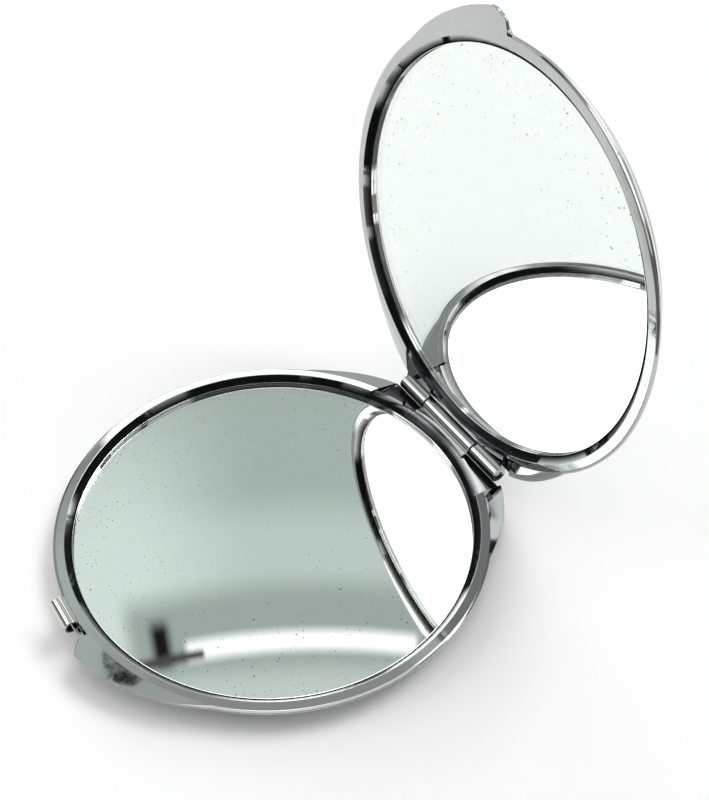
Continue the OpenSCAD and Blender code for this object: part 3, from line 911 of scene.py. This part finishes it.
# %% Sky zones
def sky_angles(tree):
    """Azimuth from +X and elevation above the floor, in degrees: atan2(y, x) and asin(z)."""
    direction = add(tree, "ShaderNodeTexCoord").outputs["Generated"]
    parts = add(tree, "ShaderNodeSeparateXYZ", {0: direction}).outputs
    turn = add(tree, "ShaderNodeMath", {0: parts["Y"], 1: parts["X"]}, operation="ARCTAN2")
    rise = add(tree, "ShaderNodeMath", {0: parts["Z"]}, operation="ARCSINE")
    return [combine(tree, "MULTIPLY", n.outputs[0], math.degrees(1)) for n in (turn, rise)]


def zone(tree, angles, left, right, low, high, soft):
    """1 between two azimuths and two elevations, falling smoothly to 0 over twice soft degrees."""
    azimuth, elevation = angles
    middle = combine(tree, "SUBTRACT", azimuth, (left + right) / 2)
    turned = add(tree, "ShaderNodeMath", {0: middle, 1: 180.0, 2: -180.0}, operation="WRAP")
    rise = combine(tree, "SUBTRACT", elevation, (low + high) / 2)
    masks = []
    for angle, size in ((turned.outputs[0], right - left), (rise, high - low)):
        away = add(tree, "ShaderNodeMath", {0: angle}, operation="ABSOLUTE").outputs[0]
        masks.append(spread(tree, away, size / 2 - soft, size / 2 + soft, 1.0, 0.0))
    return combine(tree, "MULTIPLY", masks[0], masks[1])


def grey(level, green=0.0):
    """A grey turned a little to green: less red by the share green, and less blue by 0.4 of it."""
    return (level * (1 - green), level, level * (1 - green * 0.4))


# %% Sky
OVERHEAD = 1.0
sky_zones = [
    # left, right, low, high, soft, shade: overhead, the side light and the grey behind
    (-180, 180, 66, 120, 3, grey(OVERHEAD)),
    (-78, 62, 54, 70, 3, grey(1.1)),
    (80, 186, 60, 75, 2, grey(0.47, 0.05)),
    (110, 200, 77, 87, 2, grey(4.0)),
    (62, 124, 44, 64, 4, grey(6.5)),
    (124, 176, 44, 53.5, 2.5, grey(0.46, 0.14)),
    (124, 176, 50.5, 55, 1.5, grey(0.6, 0.12)),
    (158, 186, 46, 60, 6, grey(0.76, 0.1)),
    (124, 164.2, 54.2, 58.3, 1.0, grey(0.4, 0.12)),
    (124, 176, 58.3, 62, 1.0, grey(0.62, 0.08)),
    # the long bright band, the narrow dark upright, and three small dark zones near the band's end:
    # the last two serve only the dark mark on the lower tab
    (139, 159.5, 56.5, 57.35, 0.42, grey(1.25)),
    (160.8, 162.35, 55.3, 57.4, 0.55, grey(0.01)),
    (158.0, 165.0, 56.9, 57.35, 0.25, grey(0.07)),
    (165.9, 167.3, 56.5, 57.4, 0.25, grey(0.0)),
    (164.7, 166.2, 57.1, 58.15, 0.25, grey(0.0)),
    # low light from behind
    (136, 168, 28.5, 41.2, 1.2, grey(2.4)),
    (118, 150, 5, 27, 3, grey(0.6)),
    (150, 182, 5, 24, 2, grey(3.5)),
    # the dark side round the camera, with a few dim gaps
    (-118, 17, 22, 51, 3, grey(0.012)),
    (-100, -74, 50, 63, 2, grey(0.06)),
    (-83, 30, -4, 24, 2, grey(0.05)),
    (-86, -71, 40.5, 43.5, 1.0, grey(0.3)),
    (-53, -47, 45, 47, 0.8, grey(0.25)),
    # bright and dim areas to the left of the camera, and low down all round
    (-157, -138.5, 44, 64, 1.5, grey(2.0)),
    (-138, -106, 27, 46, 2, grey(2.2)),
    (-137, -108, 46, 66, 1.5, grey(0.3)),
    (-109, -82, 4, 23, 1.5, grey(2.0)),
    (-132, -118, 5, 25, 2, grey(0.12)),
    (-184, -150, -3, 14, 2, grey(0.03)),
    (-150, -136, 9, 21, 2, grey(0.02)),
    (36, 114, 5, 40, 4, grey(0.2)),
    (40, 62, 22, 38, 3, grey(1.8)),
    (182, 200, 16, 30, 2, grey(0.3)),
    (-150, 176, -95, 4, 1.5, grey(0.95)),
    (100, 124, -3, 9, 1.5, grey(0.03)),
]

world = bpy.data.worlds.new("studio")
world.use_nodes = True
bpy.context.scene.world = world
sky = world.node_tree
sky.nodes.clear()
angles = sky_angles(sky)
colour = grey(0.42, 0.05)
for *limits, shade in sky_zones:
    colour = tint(sky, zone(sky, angles, *limits), colour, shade)
background = add(sky, "ShaderNodeBackground", {"Color": colour, "Strength": 1.0})
add(sky, "ShaderNodeOutputWorld", {"Surface": background.outputs["Background"]})
print("zones in the sky:", len(sky_zones))

# %% [markdown]
# The floor is white as the camera sees it, but it isn't plain: a short way in front of the mirror it
# has a dark area, which gives the chrome rims their dark tones. Camera rays don't see that area and
# all other rays do, so a mirror seen from the front shows a dark band that isn't on the floor there.

# %% Floor
FLOOR_HALF = 3.0
FLOOR_LIFT = 0.05
DARK_TURN = math.radians(-47.8)
DARK_END = 0.033
DARK_SIDE = -0.055
DARK_SOFT = 0.005
DARK_COLOUR = (0.14, 0.12, 0.1)


def floor_material():
    """Smooth white board, with a dark area past a line at an angle to X and past one along X, which
    camera rays don't see. The little light that the board gives off is seen by the camera and in
    metal and glass only, so it whitens the background and leaves the object's light and shadow
    alone."""
    material, tree = new_material("white_board")
    fibre = noise(tree, object_place(tree), 40.0, 3.0)
    colour = tint(tree, fibre, (0.95, 0.95, 0.945), (0.965, 0.965, 0.96))
    parts = add(tree, "ShaderNodeSeparateXYZ", {0: object_place(tree)}).outputs
    away = combine(tree, "ADD",
                   combine(tree, "MULTIPLY", parts["X"], math.cos(DARK_TURN)),
                   combine(tree, "MULTIPLY", parts["Y"], math.sin(DARK_TURN)))
    past_end = spread(tree, away, DARK_END - DARK_SOFT, DARK_END + DARK_SOFT)
    past_side = spread(tree, parts["Y"], DARK_SIDE - DARK_SOFT, DARK_SIDE + DARK_SOFT, 1.0, 0.0)
    seen = add(tree, "ShaderNodeLightPath").outputs
    dark = combine(tree, "MULTIPLY", combine(tree, "MULTIPLY", past_end, past_side),
                   combine(tree, "SUBTRACT", 1.0, seen["Is Camera Ray"]))
    colour = tint(tree, dark, colour, DARK_COLOUR)
    board = add(tree, "ShaderNodeBsdfDiffuse", {"Color": colour})
    seen = combine(tree, "MAXIMUM", seen["Is Camera Ray"], combine(
        tree, "MAXIMUM", seen["Is Glossy Ray"], seen["Is Transmission Ray"]))
    lift = add(tree, "ShaderNodeEmission", {
        "Color": (1.0, 1.0, 1.0, 1.0), "Strength": combine(tree, "MULTIPLY", seen, FLOOR_LIFT)})
    both = add(tree, "ShaderNodeAddShader", {0: board.outputs["BSDF"], 1: lift.outputs["Emission"]})
    add(tree, "ShaderNodeOutputMaterial", {"Surface": both.outputs["Shader"]})
    return material


floor_mesh = bpy.data.meshes.new("floor")
around = np.linspace(0, 2 * math.pi, 64, endpoint=False)
floor_points = np.stack([FLOOR_HALF * np.cos(around), FLOOR_HALF * np.sin(around), 0 * around], 1)
floor_mesh.from_pydata(floor_points.tolist(), [], [list(range(64))])
floor = bpy.data.objects.new("floor", floor_mesh)
bpy.context.scene.collection.objects.link(floor)
floor.data.materials.append(floor_material())

# %% [markdown]
# ## Camera
#
# The camera's place and angle were worked out from the object itself. Its rims are taken as circles
# of an estimated size, and the lid as one of them turned about a hinge line. A least-squares fit to
# their outlines in the picture then gave the place, the turn and the focal length. The picture is
# 709 by 800, so the sensor's width is the picture's height.

# %% Camera
FOCAL_PIXELS = 1146.288
PICTURE_HEIGHT = 800
SENSOR = 36.0
CAMERA_PLACE = (96.924, -53.245, 140.285)
CAMERA_VIEW = Vector((-0.57972, 0.40295, -0.7082)).normalized()
CAMERA_RIGHT = Vector((0.55279, 0.83304, 0.02147)).normalized()

lens = bpy.data.cameras.new("camera")
lens.sensor_fit = "AUTO"
lens.sensor_width = SENSOR
lens.lens = FOCAL_PIXELS * SENSOR / PICTURE_HEIGHT
lens.clip_start, lens.clip_end = 0.001, 20
camera = bpy.data.objects.new("camera", lens)
camera_up = CAMERA_RIGHT.cross(CAMERA_VIEW)
camera.matrix_world = Matrix.Translation(Vector(CAMERA_PLACE) * MM) @ Matrix(
    (CAMERA_RIGHT, camera_up, -CAMERA_VIEW)).transposed().to_4x4()
bpy.context.scene.collection.objects.link(camera)
bpy.context.scene.camera = camera
bpy.context.scene.view_settings.view_transform = "Standard"
print("lens in mm:", round(lens.lens, 3))
